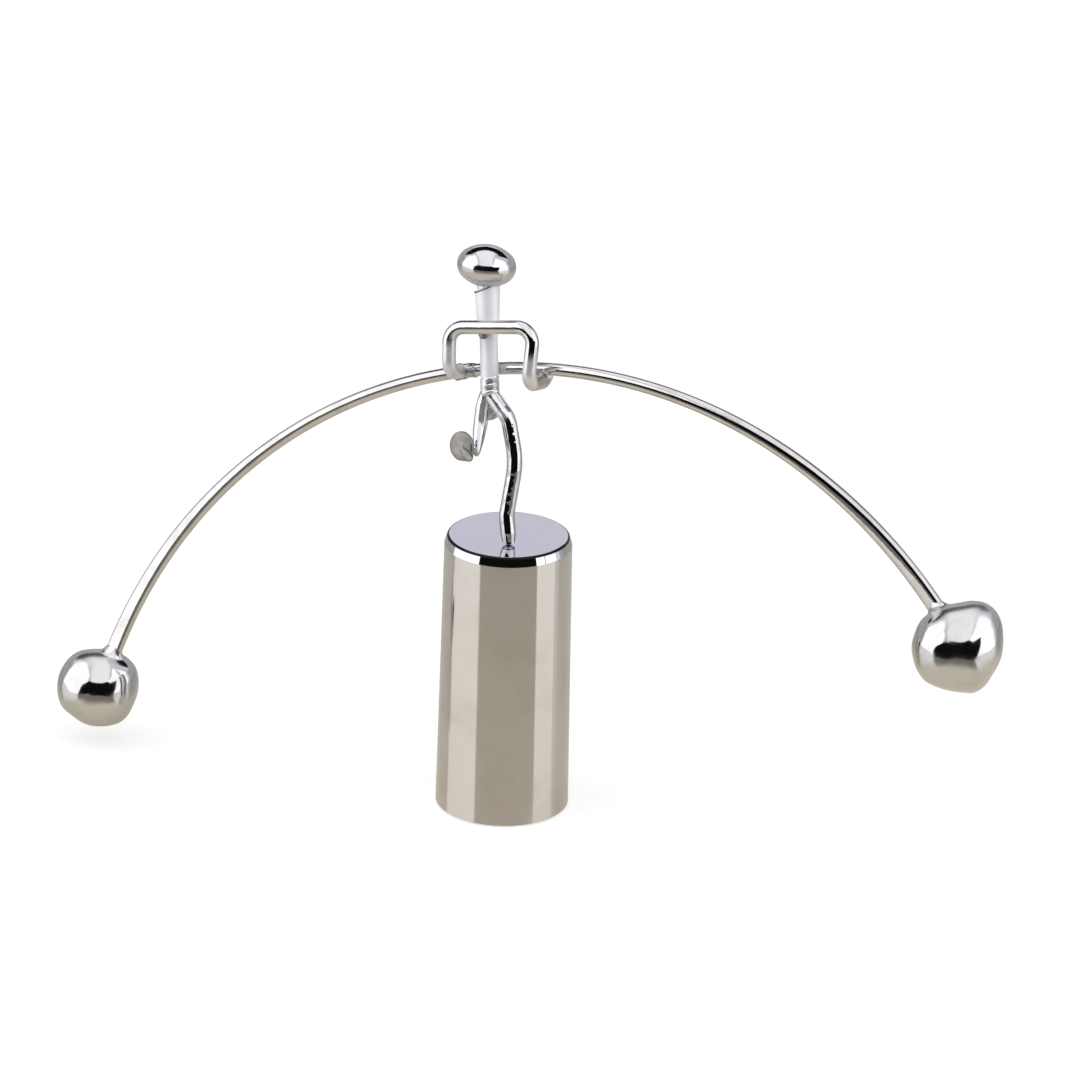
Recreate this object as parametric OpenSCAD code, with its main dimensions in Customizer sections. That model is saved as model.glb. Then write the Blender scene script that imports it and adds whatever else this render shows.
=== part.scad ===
// Balance figurine: a wire weightlifter stands on one toe on a weighted base and
// balances a curved bar with a ball at each end. Millimetres, +Z up. The origin is the
// middle of the base's underside. The figure looks towards +Y.

/* [View] */
// Piece to draw

/* [Base] */
// Height of the mirror plate over the table
base_height = 71.3; // [68:0.1:75]
// Diameter at the foot of the shell
base_foot_d = 33; // [32:0.1:35]
// Diameter where the side meets the sloping shoulder
base_top_d = 31.3; // [30:0.1:32]
// Height of the shoulder, from the side up to the plate
shoulder_height = 2.3; // [1.9:0.1:2.8]
// Slope of the shoulder, from upright
shoulder_slope = 18; // [12:1:24]
// Radius between the shoulder and the plate
rim_radius = 0.6; // [0.5:0.05:0.8]
// Sheet thickness of the shell
shell_wall = 0.8; // [0.6:0.1:1.1]
// Height of the shell's open edge over the table
shell_lift = 0.4; // [0.2:0.1:0.8]
// Room between the pad's edge and the shell's inner wall
pad_margin = 1.2; // [0.8:0.1:2]
// Thickness of the pad
pad_thick = 1; // [0.9:0.1:1.6]
// Thickness of the retaining disc
disc_thick = 2; // [1.5:0.1:3]
// Gap between the shell and what is fitted inside it
base_clearance = 0.05; // [0.02:0.01:0.2]
// Chamfer on the ballast's top edge
ballast_chamfer = 2.2; // [1.8:0.1:3]

/* [Toe and pose] */
// Toe contact point, to the right of the base's axis
toe_x = 2.4; // [0:0.1:5]
// Toe contact point, along Y from the base's axis
toe_y = -5.9; // [-8:0.1:0]
// Turn of the figure about Y: a minus sign leans it to its left
lean_side = -13.4; // [-15:0.1:-10]
// Turn of the figure about X: a minus sign leans it away, towards +Y
lean_away = -13.7; // [-15:0.1:-10]
// Radius of the toe ball
toe_ball_r = 1.4; // [1.3:0.05:1.5]
// Thickness of the braze film round the toe ball
toe_film = 0.08; // [0.06:0.01:0.12]
// Running gap on each side of the braze film
toe_gap = 0.03; // [0.02:0.01:0.05]
// Height of the leg's ground end over the plate
toe_end_height = 0.85; // [0.8:0.05:1]
// Gap under the toe ball
toe_contact_gap = 0.02; // [0.01:0.01:0.05]
// Radius the leg tapers to at its end
toe_end_r = 1.35; // [1.3:0.05:1.45]
// How far above the toe ball's middle the taper starts
toe_taper = 1.4; // [1.2:0.1:1.8]

/* [Standing leg] */
// Diameter of the leg wire
leg_d = 3.8; // [3.6:0.1:4]
// Lean of the foot to the left
foot_lean = 1; // [-1:0.5:3]
// Length of the straight foot above the toe ball
foot_length = 5.1; // [4.9:0.1:5.4]
// Bend at the ankle
ankle_bend = 16.2; // [14:0.2:19]
// Bend radius at the ankle
ankle_radius = 5; // [4:0.1:6]
// Length of the straight shin
shin_length = 9; // [8.6:0.1:9.4]
// Bend at the knee
knee_bend = 21.7; // [20:0.1:24]
// Bend radius at the knee
knee_radius = 19.9; // [18:0.1:22]
// Length of the straight thigh
thigh_length = 5.4; // [5:0.1:5.8]
// Bend under the hip
hip_bend = 28; // [26:0.1:30]
// Bend radius under the hip
hip_radius = 6; // [5:0.1:7]
// Length of the wire's end inside the hip
hip_stub = 5.5; // [5:0.1:6]

/* [Free leg] */
// Diameter of the free leg's wire
free_leg_d = 3.5; // [3.3:0.1:3.7]
// Lean of the thigh's top from the vertical
free_hip_lean = 32; // [29:0.5:35]
// Length of the thigh's top
free_hip_length = 4.6; // [4.2:0.1:5]
// Bend in the thigh
free_thigh_bend = 25; // [22:0.5:28]
// Bend radius in the thigh
free_thigh_radius = 6; // [5:0.1:7]
// Length of the straight thigh
free_thigh_length = 5.5; // [5.2:0.1:5.8]
// Bend at the knee
free_knee_bend = 115; // [110:0.5:118]
// Bend radius at the knee
free_knee_radius = 2.8; // [2.4:0.1:3.2]
// Length of the shin
free_shin_length = 4.4; // [4:0.1:4.8]
// Diameter of the pressed foot
foot_d = 7.2; // [6.8:0.1:7.8]
// Thickness of the pressed foot at its rim
foot_thick = 1.2; // [1:0.1:1.6]
// Radius of the foot's domed sole
foot_dome_r = 12; // [8:1:20]
// Turn of the foot's face about the leg, from straight back
foot_turn = 15; // [10:1:20]
// How far the foot's middle is off the shin's end, to its left
foot_offset = 0.7; // [0.4:0.1:1.2]

/* [Torso] */
// Middle of the torso's lower end, left of the toe
waist_x = -0.8; // [-1.05:0.05:-0.55]
// How far the hips and all above them stand in front of the toe
waist_y = -0.7; // [-1.1:0.05:-0.5]
// Height of the torso's lower end over the toe ball
waist_z = 36.4; // [35.9:0.1:36.7]
// Lean of the torso to the right
torso_lean = 4.4; // [3.5:0.1:5.5]
// Length of the torso's axis, up to the slanting cut
torso_length = 25.2; // [24.9:0.1:25.5]
// Diameter at the waist
waist_d = 4.4; // [4.2:0.1:4.6]
// Length of the slim waist
waist_length = 12.5; // [12:0.1:13]
// Diameter under the chest
chest_low_d = 5.5; // [5.2:0.1:5.8]
// Diameter at the top of the chest
chest_top_d = 6.2; // [6:0.1:6.4]
// Length of the taper from waist to chest
chest_taper = 4; // [3.5:0.1:4.5]
// Slope of the cut at the torso's top
neck_slope = 20; // [17:0.5:22]
// Diameter of the neck weld
neck_weld_d = 4.8; // [4.4:0.1:5.2]
// Length of the neck weld, up into the head's underside
neck_weld_length = 2.6; // [2.2:0.1:3]

/* [Head] */
// Width of the pressed ball
head_width = 14.4; // [13.8:0.1:15]
// Height of the pressed ball
head_height = 10.4; // [10:0.1:10.8]
// Radius of the ball's rounded side
head_side_r = 4.2; // [4:0.05:4.4]
// Height of the head's middle over the torso's end
head_rise = 5.1; // [4.8:0.1:5.4]
// Lean of the head to its left, seen from the torso
head_lean = 10.2; // [7:0.2:13]

/* [Arms] */
// Diameter of the arm wire
arm_d = 3.4; // [3.2:0.1:3.6]
// Middle of the left hand, left of the toe
arm_left_x = -9.4; // [-9.7:0.05:-9.1]
// Middle of the right hand, right of the toe
arm_right_x = 11.2; // [10.9:0.05:11.5]
// How far the left arm slants inwards as it rises
left_arm_slant = 7; // [5:0.5:11]
// How far the right arm slants outwards as it rises
right_arm_slant = 13; // [9:0.5:15]
// Fall of the wire across the shoulders, to the right
shoulder_fall = 4; // [2:0.5:6]
// How far the left hand butts against the bar above its middle
left_hand_rise = 0.2; // [0:0.1:0.4]
// Height of the arm wire's middle at the shoulders over the hips
shoulder_rise = 15.7; // [15.3:0.1:16.1]
// Bend radius at the shoulders
shoulder_radius = 3.9; // [3.5:0.1:4.3]
// Bend radius at the hands
hand_radius = 3.8; // [3.5:0.1:4.1]
// How deep the shoulder wire is seated in the torso's back
arm_seat = 0.3; // [0.1:0.05:0.5]
// Curl of the right hand behind the bar
hand_curl = 55; // [45:1:65]
// Bend radius of the curl
curl_radius = 3.5; // [3.3:0.1:3.8]
// Length of the straight fingertip after the curl
finger_length = 0.4; // [0.2:0.1:0.8]
// Gap between the wires and what they are welded to
weld_gap = 0.05; // [0.02:0.01:0.1]
// Depth of weld between the bar and the hook under it
hand_gap = 0.15; // [0.1:0.01:0.25]
// Width of the weld between the bar and the hook
hook_weld_width = 2.2; // [1.8:0.1:2.6]
// Length of that weld along the hand
hook_weld_depth = 1.2; // [0.8:0.1:1.4]
// How far that weld stays in front of the bar's centre line
hook_weld_inset = 0.5; // [0.4:0.1:0.7]

/* [Bar and balls] */
// Radius of the bar's arc
bar_radius = 127.5; // [125:0.5:130]
// Middle of the arc, left of the toe
bar_x = -2.9; // [-3.2:0.05:-2.5]
// Height of the top of the bar's arc over the hips
bar_rise = 5; // [4.6:0.1:5.4]
// Angle from the arc's middle to each end of the bar
bar_end_angle = 60.1; // [59:0.1:61]
// Height and thickness of the round wire at the bar's middle
bar_d = 3.1; // [3:0.05:3.2]
// Height of the pressed bar at its ends
bar_end_width = 4.3; // [4:0.05:4.5]
// How late along the bar the pressing sets in
bar_press_power = 2.5; // [1.5:0.1:4]
// Squareness of the pressed section at the ends
bar_end_square = 3.4; // [2.5:0.1:4]
// Diameter of each ball
ball_d = 21.3; // [20.8:0.1:21.8]
// Diameter of the spigot at each end of the bar
spigot_d = 2.2; // [2:0.05:2.3]
// Length of each spigot
spigot_length = 7; // [6:0.5:9]
// Gap round the spigot in its bore
spigot_clearance = 0.05; // [0.03:0.01:0.1]
// Depth of bore beyond the spigot's end
bore_relief = 0.6; // [0.3:0.1:1]
// Depth of the flat where the bar enters a ball
seat_depth = 0.26; // [0.25:0.01:0.35]
// Depth of the flat ground on each ball's outer side
flat_depth = 0.9; // [0.5:0.1:1.3]
// Turn of that flat outwards from the line of the bar's end
flat_turn = 28; // [20:1:36]
// Depth of the flat on the right ball's crown, beside the bar
crown_depth = 0.7; // [0.4:0.1:1]
// Turn of the crown's flat from the line of the bar's end
crown_turn = 148; // [144:1:152]
// Height of the solder collar where the bar enters a ball
collar_height = 0.6; // [0.4:0.1:0.8]
// Diameter of the solder collar at its foot
collar_d = 5.2; // [5:0.1:5.4]

/* [Welds] */
// Size of the weld fillets
weld_size = 0.8; // [0.6:0.05:1]
// How far the left hand's weld stands proud of the wire
weld_rise = 0.35; // [0.25:0.05:0.5]
// Middle of the shoulder weld, left of the toe
shoulder_weld_x = 0.05; // [-0.25:0.05:0.65]
// Radius of the shoulder weld's bead
shoulder_weld_r = 1.3; // [1.1:0.05:1.5]
// Thickness of a ripple in the waist weld
ripple_d = 1.7; // [1.5:0.1:1.9]
// How far a ripple stands proud of the waist
ripple_rise = 0.2; // [0.15:0.05:0.3]
// Height of the lowest ripple's middle, from the torso's end
ripple_low = -0.3; // [-0.6:0.1:0]
// Distance from ripple to ripple
ripple_step = 1.5; // [1.4:0.05:1.6]
// Slope of the ripples
ripple_slope = 18; // [12:1:22]
// Height of the crotch web's middle under the torso's end
crotch_drop = 5.3; // [4.9:0.1:5.7]
// Sideways place of the web's middle
crotch_x = 0; // [-0.4:0.1:0.4]
// Diameter of the web
crotch_d = 3.8; // [3.4:0.1:4]
// Thickness of the web, front to back
crotch_thick = 1.8; // [1.4:0.1:2.2]

/* [Hidden] */
$fn = 96;

chrome = [0.78, 0.78, 0.80];
weld = [0.62, 0.60, 0.58];
iron = [0.30, 0.30, 0.31];
rubber = [0.12, 0.12, 0.12];
board = [0.45, 0.36, 0.25];

// base, worked out from the sizes above
foot_r = base_foot_d / 2;
pad_d = base_foot_d - 2 * (shell_wall + pad_margin);
shoulder_r = base_top_d / 2;
shoulder_z = base_height - shoulder_height;

// the drafted side's radius at height z, from its radius r at the foot and top under the shoulder
function side_radius(z, r, top) = r + (top - r) * (z - shell_lift) / (shoulder_z - shell_lift);
inner_foot_r = foot_r - shell_wall;
inner_shoulder_r = shoulder_r - shell_wall;
inner_rim_r = rim_radius / 2;
disc_z = pad_thick;
ballast_z = disc_z + disc_thick;
ballast_top = base_height - shell_wall;

// toe
toe_z = base_height + toe_ball_r + toe_contact_gap;
film_r = toe_ball_r + toe_gap;
socket_r = film_r + toe_film + toe_gap;
toe_end_drop = toe_ball_r + toe_contact_gap - toe_end_height;
leg_tilt = -atan(waist_y / waist_z);

// torso, head and arms
arm_top_z = waist_z + shoulder_rise;
arm_y = waist_y - (chest_low_d + arm_d) / 2 + arm_seat;
head_flat_drop = (pow(head_width / 2 - head_side_r, 2) - pow(head_height / 2 - head_side_r, 2))
  / (2 * (head_height / 2 - head_side_r));
head_flat_r = head_height / 2 + head_flat_drop;
head_join = atan2(head_flat_drop, head_width / 2 - head_side_r);

// bar and balls
bar_z = waist_z + bar_rise - bar_radius;
bar_y = waist_y + (waist_d + bar_d) / 2 + weld_gap;
bar_rings = 72;
bar_sides = 24;
ball_r = ball_d / 2;
ball_reach = ball_r - seat_depth;
collar_fit = 1.01;
cut_reach = 60;
ripples = 3;
fuse = 0.04;
function bar_height_at(x) = bar_z + sqrt(bar_radius * bar_radius - (x - bar_x) * (x - bar_x));
function bar_slope_at(x) = asin((x - bar_x) / bar_radius);
left_hand_z = bar_height_at(arm_left_x) + left_hand_rise;
right_hand_z = bar_height_at(arm_right_x) - (bar_d + arm_d) / 2 - hand_gap;

// the arms: how far each reaches along its slant, bend at the hand included, and the wire
// between the two shoulder bends
left_reach = (arm_top_z - left_hand_z - shoulder_radius * (cos(shoulder_fall) - sin(left_arm_slant))
  - (arm_left_x + shoulder_radius * (cos(left_arm_slant) + sin(shoulder_fall))) * tan(shoulder_fall))
  / (cos(left_arm_slant) + sin(left_arm_slant) * tan(shoulder_fall));
shoulder_x = arm_left_x + left_reach * sin(left_arm_slant)
  + shoulder_radius * (cos(left_arm_slant) + sin(shoulder_fall));
shoulder_across = arm_right_x - shoulder_x
  - shoulder_radius * (cos(right_arm_slant) - sin(shoulder_fall));
shoulder_down = arm_top_z - shoulder_x * tan(shoulder_fall) - right_hand_z
  - shoulder_radius * (sin(right_arm_slant) + cos(shoulder_fall));
shoulder_run = (shoulder_across * cos(right_arm_slant) + shoulder_down * sin(right_arm_slant))
  / cos(right_arm_slant - shoulder_fall);
right_reach = (shoulder_down * cos(shoulder_fall) - shoulder_across * sin(shoulder_fall))
  / cos(right_arm_slant - shoulder_fall);

// Places the children in the figure's own frame: its origin is the middle of the toe ball.
module in_figure() {
  translate([toe_x, toe_y, toe_z]) rotate([0, lean_side, 0]) rotate([lean_away, 0, 0]) children();
}

// One run of bent wire: [straight length, bend, bend radius, turn of the bend's plane]. The
// straight is a hair thinner and reaches into the bends, so that the pieces fuse.
module wire_run(d, run) {
  translate([0, 0, -fuse]) cylinder(h = run[0] + 2 * fuse, d = d - fuse / 2);
  if (run[1] > 0)
    translate([0, 0, run[0]]) rotate([0, 0, run[3]]) translate([run[2], 0, 0])
      rotate([90, 0, 0]) rotate([0, 0, 180 - run[1]])
        rotate_extrude(angle = run[1]) translate([run[2], 0]) circle(d = d);
}

// Moves the children to the far end of the first count runs
module along(runs, count, i = 0) {
  if (i < count) {
    run = runs[i];
    translate([0, 0, run[0]]) rotate([0, 0, run[3]])
      translate([run[2] * (1 - cos(run[1])), 0, run[2] * sin(run[1])]) rotate([0, run[1], 0])
        along(runs, count, i + 1) children();
  } else {
    children();
  }
}

// Bent wire from the origin up +Z, run by run
module wire(d, runs) {
  for (i = [0 : len(runs) - 1]) along(runs, i) wire_run(d, runs[i]);
}

// Outline of the shell's section, or of the hollow inside it: foot radius, radius under the
// shoulder, radius of the rim and height of the flat top
module cup_section(r, shoulder, rim, top) {
  rim_x = shoulder - (rim + (top - shoulder_z - rim) * sin(shoulder_slope)) / cos(shoulder_slope);
  polygon([[0, shell_lift], [r, shell_lift], [shoulder, shoulder_z],
    [rim_x + rim * cos(shoulder_slope), top - rim + rim * sin(shoulder_slope)],
    [rim_x, top - rim], [rim_x, top], [0, top]]);
  intersection() {
    translate([rim_x, top - rim]) circle(r = rim);
    square([base_foot_d, base_height]);
  }
}

module base_shell() {
  color(chrome) rotate_extrude() difference() {
    cup_section(foot_r, shoulder_r, rim_radius, base_height);
    cup_section(inner_foot_r, inner_shoulder_r, inner_rim_r, ballast_top);
  }
}

module base_ballast() {
  chamfer_z = ballast_top - ballast_chamfer;
  low = side_radius(ballast_z, inner_foot_r, inner_shoulder_r) - base_clearance;
  high = side_radius(chamfer_z, inner_foot_r, inner_shoulder_r) - base_clearance;
  color(iron) rotate_extrude() polygon([[0, ballast_z], [low, ballast_z], [high, chamfer_z],
    [high - ballast_chamfer, ballast_top], [0, ballast_top]]);
}

module base_disc() {
  low = side_radius(disc_z, inner_foot_r, inner_shoulder_r) - base_clearance;
  high = side_radius(ballast_z, inner_foot_r, inner_shoulder_r) - base_clearance;
  color(board) translate([0, 0, disc_z]) cylinder(h = disc_thick, r1 = low, r2 = high);
}

module base_pad() {
  color(rubber) cylinder(h = pad_thick, d = pad_d);
}

module toe_ball() {
  color(weld) translate([toe_x, toe_y, toe_z]) sphere(r = toe_ball_r);
}

// Film of braze over the upper half of the toe ball
module toe_braze() {
  color(weld) translate([toe_x, toe_y, toe_z]) difference() {
    sphere(r = film_r + toe_film);
    sphere(r = film_r);
    translate([0, 0, -socket_r]) cube(socket_r * 2, center = true);
  }
}

leg_runs = [[foot_length - toe_taper, ankle_bend, ankle_radius, 0],
  [shin_length, knee_bend, knee_radius, 180],
  [thigh_length, hip_bend, hip_radius, 0],
  [hip_stub, 0, 0, 0]];

// The wire ends in a short taper that is ground flat and drilled for the toe ball
module standing_leg() {
  color(chrome) difference() {
    in_figure() intersection() {
      rotate([leg_tilt, 0, 0]) rotate([0, foot_lean, 0]) {
        translate([0, 0, toe_taper]) wire(leg_d, leg_runs);
        translate([0, 0, -socket_r]) cylinder(h = socket_r + toe_taper, r1 = toe_end_r, r2 = leg_d / 2);
      }
      hip_side(1);
    }
    translate([toe_x, toe_y, toe_z]) {
      sphere(r = socket_r);
      translate([0, 0, -toe_end_drop - leg_d]) cube(leg_d * 2, center = true);
    }
  }
}

// The room for a leg under the torso, right (side 1) or left (side -1) of the hip's mitre
module hip_side(side) {
  torso_frame() translate([side * cut_reach / 2, 0, -cut_reach / 2]) cube(cut_reach, center = true);
}

module torso_frame() {
  translate([waist_x, waist_y, waist_z]) rotate([0, torso_lean, 0]) children();
}

free_leg_runs = [[free_hip_length, free_thigh_bend, free_thigh_radius, 180],
  [free_thigh_length, free_knee_bend, free_knee_radius, 90],
  [free_shin_length + free_leg_d, 0, 0, 0]];

module free_leg_frame() {
  translate([waist_x, waist_y, waist_z]) rotate([0, 180 + free_hip_lean, 0]) children();
}

// The free foot's own frame: the origin is on the foot's back, +Z points out of the sole
module foot_frame() {
  free_leg_frame() along(free_leg_runs, len(free_leg_runs) - 1) translate([0, 0, free_shin_length])
    rotate([0, 90 - free_knee_bend, 0]) rotate([-foot_turn, 0, 0]) children();
}

module free_leg() {
  color(chrome) in_figure() difference() {
    intersection() {
      free_leg_frame() {
        wire(free_leg_d, free_leg_runs);
        rotate([180, 0, 0]) cylinder(h = free_leg_d, d = free_leg_d - fuse / 2);
      }
      hip_side(-1);
    }
    foot_frame() cylinder(h = foot_d, d = cut_reach);
  }
}

// Pressed disc with a flat back and a slightly domed sole
module free_foot() {
  dome_back = sqrt(pow(foot_dome_r, 2) - pow(foot_d / 2, 2));
  color(chrome) in_figure() foot_frame() translate([0, foot_offset, 0]) intersection() {
    cylinder(h = foot_d, d = foot_d);
    translate([0, 0, foot_thick - dome_back]) sphere(r = foot_dome_r);
  }
}

// Ring of weld round the end of the shin, on the foot's back
module foot_weld() {
  color(weld) difference() {
    in_figure() foot_frame() rotate([180, 0, 0])
      cylinder(h = weld_size, r1 = free_leg_d / 2 + weld_size, r2 = free_leg_d / 2);
    free_leg();
  }
}

module torso_body() {
  rotate_extrude() polygon([[0, 0], [waist_d / 2, 0], [waist_d / 2, waist_length],
    [chest_low_d / 2, waist_length + chest_taper], [chest_top_d / 2, torso_length],
    [chest_top_d / 2, torso_length + chest_top_d], [0, torso_length + chest_top_d]]);
}

// Moves the children to the slanting cut at the torso's top
module neck_frame() {
  torso_frame() translate([0, 0, torso_length]) rotate([0, -neck_slope, 0]) children();
}

module torso() {
  color(chrome) in_figure() difference() {
    torso_frame() torso_body();
    neck_frame() cylinder(h = cut_reach, d = cut_reach);
    head_ball();
  }
}

// Three slanting ripples of weld where the legs meet the torso
module waist_weld() {
  color(weld) difference() {
    in_figure() torso_frame() {
      for (k = [0 : ripples - 1]) translate([0, 0, ripple_low + k * ripple_step]) rotate([0, -ripple_slope, 0])
        rotate_extrude() translate([waist_d / 2 - ripple_d / 2 + ripple_rise, 0]) circle(d = ripple_d);
      translate([0, 0, ripple_low]) cylinder(h = (ripples - 1) * ripple_step, d = waist_d + ripple_rise);
    }
    torso();
    standing_leg();
    free_leg();
  }
}

// Web of weld that fills the fork between the legs
module crotch_weld() {
  color(weld) difference() {
    in_figure() torso_frame() translate([crotch_x, 0, -crotch_drop]) rotate([90, 0, 0])
      cylinder(h = crotch_thick, d = crotch_d, center = true);
    standing_leg();
    free_leg();
  }
}

module head_ball() {
  torso_frame() translate([0, 0, torso_length + head_rise]) rotate([0, head_lean, 0])
    rotate_extrude() head_section();
}

// Half of a four-centred oval: a rounded side that runs into the flatter top and bottom
module head_section() {
  side_x = head_width / 2 - head_side_r;
  intersection() {
    translate([side_x, 0]) circle(r = head_side_r);
    translate([0, -head_height]) square([head_width, head_height * 2]);
  }
  intersection() {
    translate([0, head_flat_drop]) circle(r = head_flat_r);
    translate([0, -head_flat_drop]) circle(r = head_flat_r);
    translate([0, -head_height]) square([head_flat_r * cos(head_join), head_height * 2]);
  }
}

module head() {
  color(chrome) in_figure() head_ball();
}

module neck_weld() {
  color(weld) in_figure() difference() {
    neck_frame() cylinder(h = neck_weld_length, d = neck_weld_d);
    head_ball();
  }
}

arm_runs = [[bar_y - arm_y - hand_radius, 90, hand_radius, 90 - left_arm_slant],
  [left_reach - hand_radius, 90 - left_arm_slant + shoulder_fall, shoulder_radius, -90],
  [shoulder_run, 90 + right_arm_slant - shoulder_fall, shoulder_radius, 0],
  [right_reach - hand_radius, 90, hand_radius, 90],
  [bar_y - arm_y - hand_radius, hand_curl, curl_radius, 0],
  [finger_length, 0, 0, 0]];

// One wire: from the left hand, butted against the bar, over the shoulders, to the right
// hand, hooked under the bar
module arms() {
  color(chrome) in_figure() difference() {
    translate([arm_left_x, bar_y, left_hand_z]) rotate([90, 0, 0]) wire(arm_d, arm_runs);
    bar_ring(weld_gap);
    torso_frame() torso_body();
  }
}

// The bar's round middle as a full ring, grown by a gap
module bar_ring(gap) {
  translate([bar_x, bar_y, bar_z]) rotate([90, 0, 0]) rotate_extrude()
    translate([bar_radius, 0]) circle(d = bar_d + 2 * gap);
}

// Bead in the corner under the arm wire, on the torso's back
module shoulder_weld() {
  color(weld) in_figure() difference() {
    translate([shoulder_weld_x, arm_y + arm_d / 2, arm_top_z - arm_d / 2]) sphere(r = shoulder_weld_r);
    torso_frame() torso_body();
    translate([0, arm_y, arm_top_z]) rotate([0, 90 + shoulder_fall, 0])
      cylinder(h = cut_reach, d = arm_d, center = true);
  }
}

// Collar of weld round the end of the wire, against the bar
module left_hand_weld() {
  color(weld) in_figure() difference() {
    translate([arm_left_x, bar_y, left_hand_z]) rotate([90, 0, 0]) difference() {
      translate([0, 0, weld_size / 2]) cylinder(h = arm_d / 2 + weld_size / 2, d = arm_d + 2 * weld_rise);
      cylinder(h = cut_reach, d = arm_d);
    }
    bar_ring(0);
  }
}

// Bead between the bar and the hooked wire under it
module right_hand_weld() {
  color(weld) in_figure() difference() {
    translate([arm_right_x - hook_weld_width / 2, bar_y - hook_weld_inset - hook_weld_depth,
      right_hand_z])
      cube([hook_weld_width, hook_weld_depth, (arm_d + bar_d) / 2 + hand_gap]);
    translate([arm_right_x, bar_y, right_hand_z]) rotate([90, 0, 0])
      cylinder(h = cut_reach, d = arm_d + 2 * weld_gap, center = true);
    translate([arm_right_x, bar_y, bar_height_at(arm_right_x)])
      rotate([0, 90 + bar_slope_at(arm_right_x), 0])
        cylinder(h = cut_reach, d = bar_d + 2 * weld_gap, center = true);
  }
}

// The bar's section at t, from -1 at the left end to 1 at the right: round in the middle,
// pressed wider, thinner and squarer towards the ends
function press(t) = pow(abs(t), bar_press_power);
function bar_width(t) = bar_d + (bar_end_width - bar_d) * press(t);
function bar_thick(t) = bar_d * bar_d / bar_width(t);
function bar_power(t) = 2 / (2 + (bar_end_square - 2) * press(t));
function squared(v, e) = sign(v) * pow(abs(v), e);
function bar_section(t) = [for (j = [0 : bar_sides - 1]) let (u = 360 * j / bar_sides)
  [squared(cos(u), bar_power(t)) * bar_width(t) / 2,
   squared(sin(u), bar_power(t)) * bar_thick(t) / 2]];

function bar_loop(t) = let (a = t * bar_end_angle) [for (p = bar_section(t))
  [bar_x + (bar_radius + p[0]) * sin(a), bar_y + p[1], bar_z + (bar_radius + p[0]) * cos(a)]];

module bar_sweep() {
  points = [for (i = [0 : bar_rings]) each bar_loop(2 * i / bar_rings - 1)];
  sides = [for (i = [0 : bar_rings - 1], j = [0 : bar_sides - 1])
    let (a = i * bar_sides + j, b = i * bar_sides + (j + 1) % bar_sides)
      each [[a, b, a + bar_sides], [b, b + bar_sides, a + bar_sides]]];
  polyhedron(points, concat(sides, [[for (j = [bar_sides - 1 : -1 : 0]) j],
    [for (j = [0 : bar_sides - 1]) bar_rings * bar_sides + j]]));
}

// Moves the children to the left (side -1) or right (side 1) end of the bar, +Z along it
module bar_end_frame(side) {
  translate([bar_x + side * bar_radius * sin(bar_end_angle), bar_y,
    bar_z + bar_radius * cos(bar_end_angle)]) rotate([0, side * (90 + bar_end_angle), 0]) children();
}

module balance_bar() {
  color(chrome) in_figure() {
    bar_sweep();
    for (side = [-1, 1]) bar_end_frame(side) translate([0, 0, -spigot_d])
      cylinder(h = spigot_d + spigot_length, d = spigot_d);
  }
}

// What is ground off a ball: all that lies past a flat, turned from the line of the bar's end
module ground_off(turn, depth) {
  rotate([0, turn, 0]) translate([0, 0, ball_r - depth]) cylinder(h = ball_r, d = ball_d * 2);
}

// Drilled ball with a seat where the bar enters and a ground flat on its outer side
module ball(side) {
  color(chrome) in_figure() bar_end_frame(side) difference() {
    translate([0, 0, ball_reach]) difference() {
      sphere(d = ball_d);
      ground_off(180, seat_depth);
      ground_off(-side * flat_turn, flat_depth);
      if (side > 0) ground_off(-crown_turn, crown_depth);
    }
    translate([0, 0, -seat_depth]) cylinder(h = seat_depth + spigot_length + bore_relief,
      d = spigot_d + 2 * spigot_clearance);
  }
}

module left_ball() {
  ball(-1);
}

module right_ball() {
  ball(1);
}

// Solder collars where the bar enters the balls
module ball_fillets() {
  color(weld) in_figure() for (side = [-1, 1]) bar_end_frame(side) difference() {
    translate([0, 0, -collar_height]) cylinder(h = collar_height, d1 = bar_end_width, d2 = collar_d);
    translate([0, 0, -collar_height * 2]) linear_extrude(collar_height * 3)
      scale(collar_fit) polygon(bar_section(1));
  }
}

base_shell();
base_ballast();
base_disc();
base_pad();
toe_ball();
toe_braze();
standing_leg();
free_leg();
free_foot();
foot_weld();
waist_weld();
crotch_weld();
torso();
shoulder_weld();
arms();
neck_weld();
head();
balance_bar();
left_hand_weld();
right_hand_weld();
left_ball();
right_ball();
ball_fillets();
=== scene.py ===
import math

import bmesh
import bpy
from mathutils import Matrix, Vector, noise


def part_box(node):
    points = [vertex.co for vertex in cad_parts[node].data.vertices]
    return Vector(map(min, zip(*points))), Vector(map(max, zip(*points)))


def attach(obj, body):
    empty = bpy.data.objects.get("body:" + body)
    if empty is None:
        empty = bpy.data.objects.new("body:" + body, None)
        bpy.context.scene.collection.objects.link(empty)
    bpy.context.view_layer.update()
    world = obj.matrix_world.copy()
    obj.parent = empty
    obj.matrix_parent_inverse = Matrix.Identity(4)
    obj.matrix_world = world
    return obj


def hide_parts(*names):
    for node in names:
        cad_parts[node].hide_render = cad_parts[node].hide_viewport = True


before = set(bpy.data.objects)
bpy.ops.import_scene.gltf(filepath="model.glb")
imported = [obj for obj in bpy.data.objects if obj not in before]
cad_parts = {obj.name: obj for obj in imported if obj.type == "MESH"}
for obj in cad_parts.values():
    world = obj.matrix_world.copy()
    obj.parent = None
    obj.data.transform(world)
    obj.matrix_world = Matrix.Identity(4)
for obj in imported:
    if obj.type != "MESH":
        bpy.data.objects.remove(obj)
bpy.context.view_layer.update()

MM = 0.001

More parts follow.
